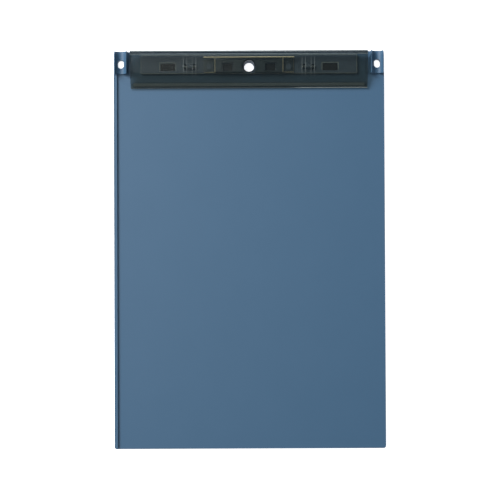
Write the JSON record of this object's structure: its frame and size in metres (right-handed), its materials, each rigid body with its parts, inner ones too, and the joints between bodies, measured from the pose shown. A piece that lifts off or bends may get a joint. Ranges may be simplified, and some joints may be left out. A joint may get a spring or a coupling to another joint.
{
  "type": "clipboard",
  "caption": "A4 clipboard with a moulded board, a raised paper rim, two strap lugs with holes, a hanging hole and a see-through spring clip that pivots open.",
  "frame": {"origin": "Centre of the board's back face, which is the bottom of the bounding box when the board lies on its back.", "axes": "+Y runs along the board towards the clip, +Z points out of the writing face, and +X is to the right for someone who writes on it, so the paper rim is on the -X side."},
  "size_m": [0.225, 0.33, 0.0127],
  "materials": {
    "board": "fine matte texture, slate blue",
    "base": "satin, slate blue",
    "lever": "polished, see-through smoke",
    "grip": "soft, matte",
    "spring": "rolled spring steel",
    "pin": "turned steel",
    "retainer": "moulded black"
  },
  "bodies": {
    "board": {"board": "board", "clip_base": "base", "leaf_spring": "spring", "base_retainer_1": "retainer", "base_retainer_2": "retainer", "base_retainer_3": "retainer", "base_retainer_4": "retainer"},
    "lever": {"clip_lever": "lever", "grip_strip": "grip", "hinge_pin_left": "pin", "hinge_pin_right": "pin"}
  },
  "joints": [
    {"name": "lever_hinge", "type": "hinge", "parent": "board", "child": "lever", "pos_m": [0, 0.1517, 0.00665], "axis": [-1, 0, 0], "range_deg": [0, 20], "stiffness_Nm_per_rad": 0.3, "springref_deg": -22.92, "deforming": ["leaf_spring"]}
  ]
}
